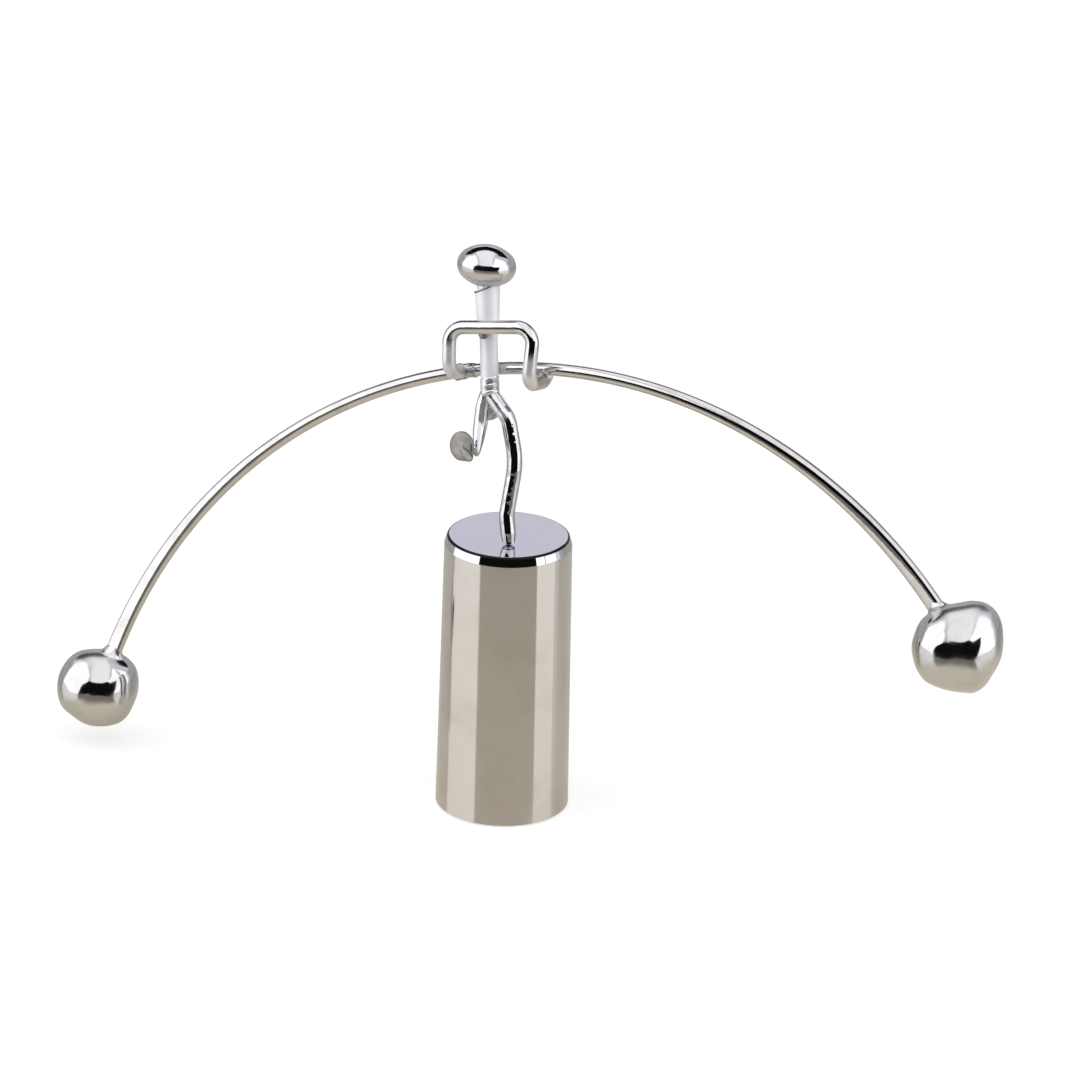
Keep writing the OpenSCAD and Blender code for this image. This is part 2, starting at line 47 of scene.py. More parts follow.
# The camera, as the photograph's view was solved
VIEW_TURN = 21.258  # degrees round the toy, from its front
VIEW_TILT = 22.669  # degrees above the table
VIEW_ROLL = 1.619  # degrees, by which the picture leans
VIEW_DISTANCE = 1416.05 * MM
VIEW_LENS = 193.4
AIM_ACROSS = 7.702 * MM
AIM_HEIGHT = 70.025 * MM
SENSOR_WIDTH = 36.0

# The base, whose side, sloping shoulder and plate are told apart by their heights
PLATE_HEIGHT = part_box("base_shell")[1].z
SHOULDER_DROP = 2.3 * MM
PLATE_EDGE = (0.25 * MM, 0.1 * MM)  # how far under the plate its tone starts and is whole
GROOVE_SHADE_FOOT = (0.5 * MM, 0.42 * MM)  # the same for the dark line below it, painted shade of the groove between plate and rim
GROOVE_SHADE_TOP = (0.03 * MM, 0.01 * MM)  # and where that painted shade ends

# The figure's own frame, as in the solids: its origin is the toe, and it leans two ways
TOE = Vector((2.4, -5.9, 72.72)) * MM
LEAN_SIDE = -13.4
LEAN_AWAY = -13.7

# The balance bar, in the figure's frame
ARC_RADIUS = 127.5 * MM
ARC_MIDDLE = Vector((-2.9, 3.1, -86.1)) * MM
ARC_HALF_ANGLE = math.radians(60.1)
WIRE_WIDTH = 3.1 * MM
END_WIDTH = 4.3 * MM
PRESS_POWER = 2.5  # how late along the wire it is pressed
END_SQUARE = 3.4  # the power of the ends' section, where 2 is an ellipse
END_TWIST = math.radians(14.0)  # by which the pressed ends are turned about the wire

# The hook that the right hand makes under the bar, and the middle of the shoulders, in mm in the
# figure's frame
HOOK = Vector((11.2, 1.0, 37.6))
SHOULDER = Vector((0.0, -4.85, 52.1))

# The rough balls at the bar's ends: how far they reach from their middles, in mm, every 15 degrees
# anticlockwise from the picture's right
BALL_RADIUS = 10.65 * MM
SEAT_DEPTH = 0.26 * MM  # how deep the bar's end sits in the ball
LEFT_REACH = (
    9.75, 10.05, 10.3, 10.0, 9.7, 9.6, 9.5, 9.8, 10.3, 10.5, 10.55, 10.75,
    10.82, 10.88, 10.75, 10.2, 10.15, 10.25, 10.15, 10.25, 10.4, 10.2, 9.8, 9.75,
)
RIGHT_REACH = (
    10.1, 10.45, 11.1, 11.55, 11.5, 10.8, 10.0, 9.9, 10.2, 10.6, 11.1, 11.25,
    11.55, 11.7, 11.95, 11.95, 11.35, 11.05, 11.15, 11.7, 11.25, 10.3, 9.95, 9.95,
)
BALL_DEPTH = 0.91  # along the view
LUMP_DEPTH = 0.35 * MM
LUMP_SIZE = 7.5 * MM
LUMP_START = (7.3, 2.1)  # where the lumps' pattern is read: from the other side for the left ball

# The bar runs on into the balls, and collars of solder flare from it over them
BAR_INSIDE = 1.7 * MM
COLLAR_RISE = 1.9 * MM
COLLAR_SPREAD = math.radians(22.0)  # round the ball's middle
COLLAR_RINGS = 9
COLLAR_INSIDE = (-0.8, 1.6)  # where its two ends close inside the bar and the ball, in rises
COLLAR_WAVE = 0.25  # how much further it climbs on two sides of the bar
COLLAR_SINK = 0.12 * MM  # how deep its foot goes into the ball
COLLAR_FIT = (0.98, 1.05)  # its width at the top and at the bend, in widths of the bar
COLLAR_BEND = 0.1
COLLAR_LUMP = 0.16 * MM
COLLAR_LUMP_SIZE = 2.2 * MM

# The pressed foot at the end of the free leg, and the crease that runs to its pinched tip
FOOT_MIDDLE = Vector((-9.08, -9.16, 96.22)) * MM
FOOT_FACING = Vector((-0.31, -0.931, 0.193))  # which way its face looks
FOOT_RADIUS = 3.6 * MM
FOOT_HALF_THICK = 0.87 * MM
FOOT_SQUARE = 3.2  # the power of its section, where 2 is an ellipse
TIP_TURN = math.radians(-50.0)
TIP_WIDTH = 0.32  # radians
TIP_STRETCH = 0.24  # how much further it reaches, in radii
CREASE_RISE = 0.65 * MM
CREASE_WIDTH = 0.4 * MM
CREASE_GROWTH = (1.6, 0.2)  # how fast it rises towards the tip, and how far out it starts
DENT_DEPTH = 0.7 * CREASE_RISE
DENT_ASIDE = 0.9 * MM
FACE_EDGE = 3.0  # how soon the crease is whole, inwards from the rim
FOOT_LUMP = 0.1 * MM
FOOT_LUMP_SIZE = 1.8 * MM

# The solder that ran along the bar from the left hand, in the figure's frame
SOLDER_START = -11.9 * MM
SOLDER_END = -5.1 * MM
SOLDER_THICK = (2.0 * MM, 1.75 * MM)
SOLDER_BLUNT = (1.6, 0.6)  # how steep and how round its two ends are
SOLDER_LUMP = 0.2
SOLDER_LUMP_SIZE = 1.7 * MM

# The free leg, from the hip down to its sharp knee and back to the foot: points of its middle line
# with its radius there, in mm
FREE_LEG = (
    (-7.44, 1.47, 107.29, 1.20), (-7.76, 1.49, 105.02, 1.60), (-7.99, 1.08, 103.01, 1.75),
    (-8.05, 0.71, 101.21, 1.78), (-7.98, 0.06, 99.44, 1.75), (-7.86, -1.02, 97.68, 1.65),
    (-7.58, -2.25, 96.01, 1.45), (-7.23, -3.44, 94.61, 1.12), (-6.91, -4.48, 93.56, 0.80),
    (-6.73, -5.41, 93.15, 0.60), (-6.91, -6.28, 94.21, 0.75), (-7.25, -7.45, 95.80, 0.95),
)
LEG_STEP = 0.004  # how far apart two places are that give its direction

# The slanting seam round the top of the torso, under the head, near black as painted shade
SEAM_MIDDLE = Vector((-10.4, 7.99, 131.17)) * MM
SEAM_AXIS = Vector((-0.16, 0.25, 1.0))
SEAM_RADIUS = 3.0 * MM
SEAM_WIRE = 0.24 * MM
SEAM_SLOPE = 0.37

# The floor, its own tone, and how it is seen by the camera, near the toy and far from it
FLOOR_WIDTH = 12.0
PAPER = 0.5
NEAR_GLOW = 0.62
FAR_GLOW = 1.0
FAR_OFF = (0.35, 1.0)  # metres from the toy between which the glow rises

# The floor as metal mirrors it
FLOOR_IN_METAL = (0.345, 0.285, 0.165)
FLOOR_SHADE = 0.3  # how much darker it is behind the toy
BEHIND = (-0.05, 0.0)  # metres towards the camera's side
SHEEN_EDGE = (0.42, 0.773)  # how edge-on the floor is where its sheen starts and is whole
SHEEN_SHARE = 0.7
SHEEN_TONE = 0.7
SHEEN_ROUGHNESS = 0.05

# How deep the slow wobble of the chrome goes at a bump of full strength
WOBBLE_DEPTH = 0.6 * MM

# The board that closes the base, and its darker specks
BOARD_LIGHT = (0.35, 0.24, 0.14, 1.0)
BOARD_DARK = (0.27, 0.18, 0.1, 1.0)

# The world as it lights the toy, and as it is seen
WORLD_LIGHT = 0.2
WORLD_WHITE = (0.93, 0.92, 1.0, 1.0)

# The studio is set out round the toy at this height. A lamp has its strength, its width and depth,
# its turn from the camera's side, its height in degrees and its distance in metres
EYE_HEIGHT = 0.06
LAMP_POWER = 4.0
LAMPS = {
    "left lamp": (1.05, 1.7, 1.75, -84.0, 33.0, 1.15),
    "right lamp": (1.05, 1.1, 1.75, 74.0, 33.0, 1.15),
    "overhead lamp": (0.85, 0.7, 2.6, 0.0, 81.0, 1.25),
}

# What metal mirrors: the glow of each kind of card and its distance in metres
CARD_TINT = 0.03
PANEL = (1.8, 1.2)
WINDOW = (1.4, 1.2)
FRONT = (0.006, 1.3)
WALL = (0.54, 1.4)

# Each card as levels: a height, and the turns of its two edges there from the camera's side, in
# degrees. The window's heights run on over the zenith
LEFT_PANEL = (
    (-4.0, -109.0, -54.0), (14.0, -109.0, -50.5), (21.5, -109.0, -47.0), (23.0, -110.0, -45.0),
    (30.0, -112.0, -38.0), (48.0, -118.0, -43.0), (60.0, -120.0, -62.0), (65.0, -118.0, -85.0),
)
RIGHT_PANEL = (
    (-4.0, 45.0, 94.0), (14.0, 54.0, 94.0), (21.5, 56.5, 94.0), (23.0, 34.0, 96.0),
    (30.0, 24.0, 100.0), (48.0, 43.0, 100.0), (60.0, 62.0, 100.0), (65.0, 85.0, 98.0),
)
OVERHEAD_WINDOW = ((33.0, -24.0, 24.0), (90.0, -20.0, 20.0), (127.0, -17.0, 17.0))
OPEN_FRONT = (
    (-4.0, -55.0, 46.0), (14.0, -51.0, 55.0), (21.5, -48.0, 58.0), (23.0, -46.0, 34.0),
    (31.0, -37.0, 22.0),
)
BACK_FLAG = ((27.0, 128.0, 232.0), (50.0, 132.0, 228.0))
RIGHT_WALL = ((-4.0, 104.0, 166.0), (25.0, 104.0, 166.0))
BACK_WALL = ((-4.0, 166.0, 194.0), (19.0, 166.0, 194.0))
LEFT_WALL = ((-4.0, 194.0, 256.0), (25.0, 194.0, 256.0))


class Wire:
    """An output of a node, which can be used in sums as a number can."""

    def __init__(self, tree, socket):
        self.tree = tree
        self.socket = socket

    def node(self, kind, settings=None, inputs=None, output=0):
        """A new node: its settings are set first, then the values or wires of its sockets."""
        made = self.tree.nodes.new(kind)
        for name, value in (settings or {}).items():
            setattr(made, name, value)
        for name, value in (inputs or {}).items():
            if isinstance(value, Wire):
                self.tree.links.new(value.socket, made.inputs[name])
            else:
                made.inputs[name].default_value = value
        return Wire(self.tree, made.outputs[output])

    def sum(self, operation, first, second):
        return self.node("ShaderNodeMath", {"operation": operation}, {0: first, 1: second})

    def __add__(self, other):
        return self.sum("ADD", self, other)

    def __sub__(self, other):
        return self.sum("SUBTRACT", self, other)

    def __rsub__(self, other):
        return self.sum("SUBTRACT", other, self)

    def __mul__(self, other):
        return self.sum("MULTIPLY", self, other)

    __radd__ = __add__
    __rmul__ = __mul__

    def most(self, other):
        return self.sum("MAXIMUM", self, other)

    def least(self, other):
        return self.sum("MINIMUM", self, other)

    def step(self, low, high):
        """0 below low, 1 above high, and smooth between them."""
        return self.node(
            "ShaderNodeMapRange", {"interpolation_type": "SMOOTHSTEP"},
            {"Value": self, "From Min": low, "From Max": high},
        )

    def stretched(self, x, y, z):
        return self.node("ShaderNodeMapping", inputs={"Vector": self, "Scale": (x, y, z)})

    def away(self, point=(0.0, 0.0, 0.0)):
        """How far this place is from a point."""
        return self.node("ShaderNodeVectorMath", {"operation": "DISTANCE"}, {0: self, 1: point}, 1)

    def noise(self, per_metre, detail, roughness=0.5):
        return self.node("ShaderNodeTexNoise", inputs={
            "Vector": self, "Scale": per_metre, "Detail": detail, "Roughness": roughness,
        })

    def blend(self, first, second):
        """From the first colour, where this is 0, to the second, where it is 1."""
        return self.node("ShaderNodeMix", {"data_type": "RGBA"}, {0: self, 6: first, 7: second}, 2)

    def bump(self, strength, distance, under=None):
        inputs = {"Height": self, "Strength": strength, "Distance": distance}
        if under is not None:
            inputs["Normal"] = under
        return self.node("ShaderNodeBump", inputs=inputs)


class Finish:
    """A material under construction: its main shader and where a point lies on the object."""

    def __init__(self, name, **fixed):
        self.material = bpy.data.materials.new(name)
        self.material.use_nodes = True
        self.tree = self.material.node_tree
        self.shader = self.tree.nodes["Principled BSDF"]
        for label, value in fixed.items():
            self.shader.inputs[label.replace("_", " ")].default_value = value
        here = self.tree.nodes.new("ShaderNodeTexCoord")
        self.place = Wire(self.tree, here.outputs["Object"])

    def height(self):
        return self.place.node("ShaderNodeSeparateXYZ", inputs={0: self.place}, output=2)

    def marks(self):
        """Cloudy handling marks, 1 where the chrome is hazy."""
        return self.place.noise(180.0, 4.0, 0.6).step(0.45, 0.7)

    def wear(self, **changing):
        """Joins what changes over the surface to the shader."""
        for label, value in changing.items():
            self.tree.links.new(value.socket, self.shader.inputs[label.replace("_", " ")])
        return self.material


def grey(level, warmth=0.0, blueness=0.0):
    """A grey, or one that warmth takes from blue, and half as much from green."""
    return (level, level * (1 - warmth / 2), level * (1 - warmth + blueness), 1.0)


def polished(name, bright, hazed, gloss, haze, wobble, wave):
    """Polished chrome: a skin with handling marks, where it is hazier, and a slow wobble."""
    finish = Finish(name, Metallic=1.0)
    marks = finish.marks()
    pits = finish.place.noise(2600.0, 2.0)
    slow = finish.place.noise(wave, 2.0)
    skin = pits.bump(0.02, 0.02 * MM, slow.bump(wobble, WOBBLE_DEPTH))
    return finish.wear(
        Base_Color=marks.blend(bright, hazed), Roughness=marks * haze + gloss, Normal=skin,
    )


def mirror_base():
    """The base: a smooth warm mirror of a side, under a bright shoulder and a polished plate,
    with a dark line round the plate, painted shade of the groove between plate and rim."""
    finish = Finish("base finish", Metallic=1.0)
    height = finish.height()
    plate, foot, top = (
        height.step(PLATE_HEIGHT - start, PLATE_HEIGHT - whole)
        for start, whole in (PLATE_EDGE, GROOVE_SHADE_FOOT, GROOVE_SHADE_TOP)
    )
    side = 1 - height.step(PLATE_HEIGHT - SHOULDER_DROP - 0.3 * MM, PLATE_HEIGHT - SHOULDER_DROP)
    stains = finish.place.noise(70.0, 4.0, 0.6).step(0.45, 0.75)
    specks = finish.place.noise(900.0, 2.0).step(0.68, 0.76)
    warm = (stains * 0.7 + specks * 0.3).blend(grey(0.66, 0.07), grey(0.58, 0.13))
    bright = side.blend(grey(0.62), warm)
    # seam: a near-black line round the plate's edge, painted shade of the groove between plate and rim
    seam = foot * (1 - top)
    colour = seam.blend(plate.blend(bright, grey(0.53, 0.03, 0.12)), grey(0.015))
    gloss = side * (stains * 0.04 + specks * 0.1 + 0.05) + seam * 0.3 + 0.03
    slow = finish.place.stretched(1.0, 1.0, 0.25).noise(45.0, 2.0)
    return finish.wear(Base_Color=colour, Roughness=gloss, Normal=slow.bump(0.05, WOBBLE_DEPTH))


def cast_ball(name, side):
    """A ball's chrome: bright over its middle, hazier below, and haziest by the solder at its top."""
    finish = Finish(name, Metallic=1.0)
    middle = ball_middle(side).z
    top = finish.height().step(middle + 6.0 * MM, middle + 10.0 * MM)
    under = 1 - finish.height().step(middle - 1.0 * MM, middle + 3.0 * MM)
    marks = finish.marks()
    slow = finish.place.noise(120.0, 2.0)
    return finish.wear(
        Base_Color=marks.blend(grey(0.57, 0.02), grey(0.52, 0.03)),
        Roughness=marks * 0.05 + top * 0.2 + under * 0.1 + 0.07, Normal=slow.bump(0.1, WOBBLE_DEPTH),
    )


def oval_head():
    """The head's chrome: a mirror above, and paler, bluer, rougher and less metallic over its underside."""
    finish = Finish("head chrome", Metallic=1.0)
    low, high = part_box("head")
    under = 1 - finish.height().step(low.z + 0.1 * (high.z - low.z), low.z + 0.5 * (high.z - low.z))
    marks = finish.marks()
    cool = marks.blend(grey(0.58, 0.0, 0.02), grey(0.53))
    return finish.wear(
        Base_Color=under.blend(cool, grey(0.55, 0.0, 0.08)), Metallic=1 - under * 0.75,
        Roughness=marks * 0.05 + under * 0.2 + 0.08,
        Normal=finish.place.noise(160.0, 2.0).bump(0.1, WOBBLE_DEPTH),
    )


def legs_chrome():
    """The legs: mirror-bright wire, but gone white and satin near the weld of the hips."""
    finish = Finish("leg chrome", Metallic=1.0)
    low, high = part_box("crotch_weld")
    offset = finish.place.away((low + high) / 2) + finish.place.noise(300.0, 2.0) * (4 * MM)
    hips = 1 - offset.step(5.0 * MM, 7.5 * MM)
    marks = finish.marks()
    chrome = marks.blend(grey(0.57, 0.0, 0.03), grey(0.52))
    return finish.wear(
        Base_Color=hips.blend(chrome, grey(0.85, 0.0, 0.04)), Metallic=1 - hips * 0.3,
        Roughness=marks * 0.05 + hips * 0.14 + 0.03,
        Normal=finish.place.noise(330.0, 1.5).bump(0.3, 0.7 * MM),
    )


def turned_torso():
    """The torso: a bright, almost white satin rod with the fine rings of the lathe."""
    finish = Finish("turned torso", Metallic=0.35)
    rings = finish.place.stretched(1.0, 1.0, 30.0).noise(300.0, 3.0)
    cloud = finish.place.noise(160.0, 3.0).step(0.35, 0.7)
    return finish.wear(
        Base_Color=cloud.blend(grey(0.93, 0.0, 0.04), grey(0.86, 0.0, 0.05)),
        Roughness=rings * 0.08 + cloud * 0.05 + 0.45, Normal=rings.bump(0.04, 0.03 * MM),
    )


def hooked_arms(hook, shoulder):
    """The arms: mirror-bright over the shoulders, satin down the uprights, and beige at the hook
    under the bar."""
    finish = Finish("arm chrome", Metallic=1.0)
    # a beige, rougher patch round the hook under the bar
    hook_beige = 1 - finish.place.away(hook).step(3.6 * MM, 4.8 * MM)
    upright = 1 - finish.height().step(shoulder.z - 6.0 * MM, shoulder.z - 2.5 * MM)
    marks = finish.marks()
    slow = finish.place.noise(260.0, 2.0)
    satin = marks.blend(grey(0.75, 0.0, 0.04), grey(0.66, 0.0, 0.03))
    cool = upright.blend(grey(0.58, 0.0, 0.02), satin)
    return finish.wear(
        Base_Color=hook_beige.blend(cool, grey(0.54, 0.2)), Metallic=1 - upright * (1 - hook_beige) * 0.4,
        Roughness=marks * 0.04 + (hook_beige + upright).least(1.0) * 0.3 + 0.03,
        Normal=slow.bump(0.1, WOBBLE_DEPTH),
    )


def welded(name, bright, burnt_tone, rough, depth):
    """Silver solder, softly lumpy, that the chrome covers only thinly."""
    finish = Finish(name, Metallic=0.9)
    lumps = finish.place.noise(600.0, 2.0)
    burnt = finish.place.noise(380.0, 3.0).step(0.48, 0.72)
    return finish.wear(
        Base_Color=burnt.blend(bright, burnt_tone), Roughness=burnt * 0.1 + rough,
        Normal=lumps.bump(0.15, depth),
    )


def sanded(name, light, dark, rough):
    """Chrome that was sanded: scratches one way, and a dull sheen."""
    finish = Finish(name, Metallic=1.0)
    lines = finish.place.stretched(1.0, 1.0, 8.0).noise(1500.0, 3.0)
    cloud = finish.place.noise(260.0, 3.0).step(0.35, 0.7)
    return finish.wear(
        Base_Color=cloud.blend(light, dark), Roughness=lines * 0.2 + rough,
        Normal=lines.bump(0.12, 0.1 * MM),
    )


def dull(name, light, dark, rough, grain, depth):
    """Rubber, bare iron or pressed board, with its grain."""
    finish = Finish(name, Metallic=0.0)
    speck = finish.place.noise(grain, 5.0, 0.6)
    return finish.wear(
        Base_Color=speck.step(0.35, 0.65).blend(light, dark), Roughness=speck * 0.2 + rough,
        Normal=speck.bump(0.3, depth),
    )


def dress(name, material):
    """Gives a CAD node its material."""
    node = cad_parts[name]
    node.data.materials.clear()
    node.data.materials.append(material)


def view_axes():
    """The picture's right and up, and the way back to the camera."""
    turn, tilt, roll = (math.radians(a) for a in (VIEW_TURN, VIEW_TILT, VIEW_ROLL))
    back = Vector((math.sin(turn) * math.cos(tilt), -math.cos(turn) * math.cos(tilt), math.sin(tilt)))
    right = Vector((math.cos(turn), math.sin(turn), 0.0))
    up = back.cross(right)
    return right * math.cos(roll) + up * math.sin(roll), up * math.cos(roll) - right * math.sin(roll), back


def facing(axis):
    """The frame whose Z is the axis, and whose X is as near to the picture's right as it can be."""
    axis = axis.normalized()
    right = view_axes()[0]
    right = (right - axis * right.dot(axis)).normalized()
    return Matrix((right, axis.cross(right), axis)).transposed()


def figure_place():
    """From the figure's own frame to the object's."""
    side = Matrix.Rotation(math.radians(LEAN_SIDE), 4, "Y")
    return Matrix.Translation(TOE) @ side @ Matrix.Rotation(math.radians(LEAN_AWAY), 4, "X")


def on_arc(turn, out=0.0):
    """A point of the bar's middle line, by its turn from the top, or one further out."""
    return ARC_MIDDLE + Vector((math.sin(turn), 0.0, math.cos(turn))) * (ARC_RADIUS + out)


def bar_end(side):
    """The frame at the left (-1) or right (1) end of the bar, with +Z along it."""
    turn = Matrix.Rotation(side * (math.pi / 2 + ARC_HALF_ANGLE), 4, "Y")
    return figure_place() @ Matrix.Translation(on_arc(side * ARC_HALF_ANGLE)) @ turn


def placed(name, made, material):
    """Makes the mesh an object of the scene."""
    mesh = bpy.data.meshes.new(name)
    made.to_mesh(mesh)
    made.free()
    mesh.materials.append(material)
    item = bpy.data.objects.new(name, mesh)
    bpy.context.scene.collection.objects.link(item)
    return item


def finished(name, made, material, *nodes):
    """Makes the mesh a smooth piece that rides on the figure, and may stand for CAD nodes."""
    for face in made.faces:
        face.smooth = True
    piece = placed(name, made, material)
    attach(piece, "figure")
    if nodes:
        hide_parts(*nodes)


def squared(value, power):
    return math.copysign(abs(value) ** power, value)


def through(a, b, c, d, part):
    """A smooth curve from b to c, which a and d come before and after."""
    return b + (c - a + (2 * a - 5 * b + 4 * c - d + (3 * (b - c) + d - a) * part) * part) * (0.5 * part)


def between(values, place):
    """A smooth curve through values that are evenly spaced round a circle, at place from 0 to 1."""
    spot = place % 1.0 * len(values)
    start = int(spot)
    return through(*(values[(start + step) % len(values)] for step in (-1, 0, 1, 2)), spot - start)


def along(points, place):
    """The same through points from the first, at 0, to the last, at 1."""
    last = len(points) - 1
    spot = min(max(place, 0.0), 1.0) * last
    start = min(int(spot), last - 1)
    return through(*(points[min(max(start + step, 0), last)] for step in (-1, 0, 1, 2)), spot - start)


def round_bar(segments, steps):
    """A closed bar, bent round the Y axis through 1 radian at a distance of 10, and the place of
    each of its points: from 0 to 1 along it, then outwards and across in its own radii."""
    made = bmesh.new()
    rim = bmesh.ops.create_circle(made, segments=segments, radius=1.0, cap_ends=True)["verts"]
    bmesh.ops.rotate(made, verts=rim, matrix=Matrix.Rotation(math.pi / 2, 3, "Y"))
    bmesh.ops.translate(made, verts=rim, vec=(0.0, 0.0, 10.0))
    bmesh.ops.rotate(made, verts=rim, matrix=Matrix.Rotation(-0.5, 3, "Y"))
    bmesh.ops.spin(
        made, geom=made.faces[:] + made.edges[:] + made.verts[:], axis=(0, 1, 0), cent=(0, 0, 0),
        steps=steps, angle=1.0,
    )
    return made, [
        (math.atan2(vert.co.x, vert.co.z) + 0.5, math.hypot(vert.co.x, vert.co.z) - 10.0, vert.co.y)
        for vert in made.verts
    ]


def swept_bar(material):
    """The arc of wire, round in the middle, pressed wider, thinner and squarer to its ends."""
    made, places = round_bar(48, 180)
    for vert, (part, out, across) in zip(made.verts, places):
        turn = (2 * part - 1) * (ARC_HALF_ANGLE + BAR_INSIDE / ARC_RADIUS)
        press = min(abs(turn / ARC_HALF_ANGLE), 1.0) ** PRESS_POWER
        width = WIRE_WIDTH + (END_WIDTH - WIRE_WIDTH) * press
        power = 2 / (2 + (END_SQUARE - 2) * press)
        flat = Vector((squared(out, power) * width, squared(across, power) * WIRE_WIDTH ** 2 / width)) / 2
        flat.rotate(Matrix.Rotation(math.copysign(END_TWIST * press, -turn), 2))
        vert.co = on_arc(turn, flat.x) + Vector((0.0, flat.y, 0.0))
    bmesh.ops.recalc_face_normals(made, faces=made.faces)
    bmesh.ops.transform(made, matrix=figure_place(), verts=made.verts)
    finished("balance_bar_pressed", made, material, "balance_bar")


def tapered_leg(material):
    """The free leg: wire that thins down to a sharp knee and turns back to the foot."""
    made, places = round_bar(32, 110)
    points = [Vector(point) * MM for point in FREE_LEG]
    right, _, back = view_axes()
    for vert, (part, out, across) in zip(made.verts, places):
        spot = along(points, part)
        way = (along(points, part + LEG_STEP) - along(points, part - LEG_STEP)).xyz.normalized()
        side = (right + back - way * (right + back).dot(way)).normalized()
        vert.co = spot.xyz + (side * out + way.cross(side) * across) * spot.w
    bmesh.ops.recalc_face_normals(made, faces=made.faces)
    finished("free_leg_tapered", made, material, "free_leg")


def neck_seam(material):
    """A thin ring of solder slanting round the top of the torso; its near-black finish is painted shade."""
    made = bmesh.new()
    rim = bmesh.ops.create_circle(made, segments=12, radius=SEAM_WIRE)["verts"]
    bmesh.ops.rotate(made, verts=rim, matrix=Matrix.Rotation(math.pi / 2, 3, "X"))
    bmesh.ops.translate(made, verts=rim, vec=(SEAM_RADIUS, 0.0, 0.0))
    bmesh.ops.spin(
        made, geom=made.edges[:] + made.verts[:], axis=(0, 0, 1), cent=(0, 0, 0), steps=72,
        angle=2 * math.pi, use_merge=True,
    )
    bmesh.ops.remove_doubles(made, verts=made.verts, dist=0.001 * MM)
    own = facing(SEAM_AXIS)
    for vert in made.verts:
        vert.co.z += vert.co.x * SEAM_SLOPE
        vert.co = SEAM_MIDDLE + own @ vert.co
    bmesh.ops.recalc_face_normals(made, faces=made.faces)
    finished("neck_seam", made, material)


def ball_middle(side):
    """Where the middle of the left (-1) or right (1) ball is."""
    return bar_end(side) @ Vector((0.0, 0.0, BALL_RADIUS - SEAT_DEPTH))


def ball_surface(side, out):
    """Where the rough ball's skin is, from its middle, in a direction of the picture's own axes."""
    reaches = LEFT_REACH if side < 0 else RIGHT_REACH
    mean = sum(reaches) / len(reaches)
    edge = between(reaches, math.atan2(out.y, out.x) / (2 * math.pi))
    start = Vector((side * LUMP_START[0], LUMP_START[1], 0.0))
    lump = noise.noise(out * (BALL_RADIUS / LUMP_SIZE) + start)
    reach = (mean + (edge - mean) * (out.x ** 2 + out.y ** 2)) * MM + LUMP_DEPTH * lump * (1 - abs(lump))
    shape = Vector((out.x, out.y, out.z * BALL_DEPTH)) * reach
    return ball_middle(side) + Matrix(view_axes()).transposed() @ shape


def rough_ball(name, side, material):
    """A ball that was cast rough, not quite round, with its slow lumps."""
    made = bmesh.new()
    bmesh.ops.create_icosphere(made, subdivisions=7, radius=1.0)
    for vert in made.verts:
        vert.co = ball_surface(side, vert.co.normalized())
    finished(name, made, material, "left_ball" if side < 0 else "right_ball")


def collar_rings(made):
    """Spins one more closed shell of rings round Z, which faces outwards, and gives its points."""
    old = set(made.verts)
    chain = [
        made.verts.new((float(0 < ring < COLLAR_RINGS), 0.0, ring)) for ring in range(COLLAR_RINGS + 1)
    ]
    edges = [made.edges.new(pair) for pair in zip(chain, chain[1:])]
    bmesh.ops.spin(
        made, geom=chain + edges, axis=(0, 0, 1), cent=(0, 0, 0), steps=40, angle=2 * math.pi,
        use_merge=True,
    )
    bmesh.ops.remove_doubles(made, verts=[v for v in made.verts if v not in old], dist=0.0001)
    faces = [face for face in made.faces if face.verts[0] not in old]
    bmesh.ops.recalc_face_normals(made, faces=faces)
    return [vert for vert in made.verts if vert not in old]


def collar_point(side, turn, part):
    """Where a collar is, round the bar and from its top, at 0, to its foot on the ball, at 1."""
    end = bar_end(side)
    width, thick = END_WIDTH / 2, WIRE_WIDTH ** 2 / END_WIDTH / 2
    ring = Vector((math.cos(turn) * width, math.sin(turn) * thick, 0.0))
    ring.rotate(Matrix.Rotation(END_TWIST, 3, "Z"))
    flare = math.sin(COLLAR_SPREAD)
    away = Vector((flare * math.cos(turn), flare * math.sin(turn), -math.cos(COLLAR_SPREAD)))
    foot = ball_surface(side, (Matrix(view_axes()) @ (end.to_3x3() @ away)).normalized())
    foot += (ball_middle(side) - foot).normalized() * COLLAR_SINK
    climb = COLLAR_RISE * (1 + COLLAR_WAVE * math.sin(turn * 2))
    top = end @ (ring * COLLAR_FIT[0] + Vector((0.0, 0.0, -climb)))
    bend = end @ (ring * COLLAR_FIT[1] + Vector((0.0, 0.0, COLLAR_BEND * COLLAR_RISE)))
    spot = top * (1 - part) ** 2 + bend * 2 * part * (1 - part) + foot * part ** 2
    lump = noise.noise(spot / COLLAR_LUMP_SIZE) * COLLAR_LUMP * math.sin(math.pi * part)
    return spot + (spot - end @ Vector((0.0, 0.0, BALL_RADIUS))).normalized() * lump


def solder_collars(material):
    """The solder that flares from the bar's ends over the balls, a little lumpy."""
    made = bmesh.new()
    for side in (-1, 1):
        for vert in collar_rings(made):
            turn, part = math.atan2(vert.co.y, vert.co.x), (vert.co.z - 1) / (COLLAR_RINGS - 2)
            if vert.co.xy.length < 0.5:
                depth = COLLAR_INSIDE[0 if part < 0.5 else 1] * COLLAR_RISE
                vert.co = bar_end(side) @ Vector((0.0, 0.0, depth))
            else:
                vert.co = collar_point(side, turn, part)
    finished("solder_collars", made, material, "ball_fillets")


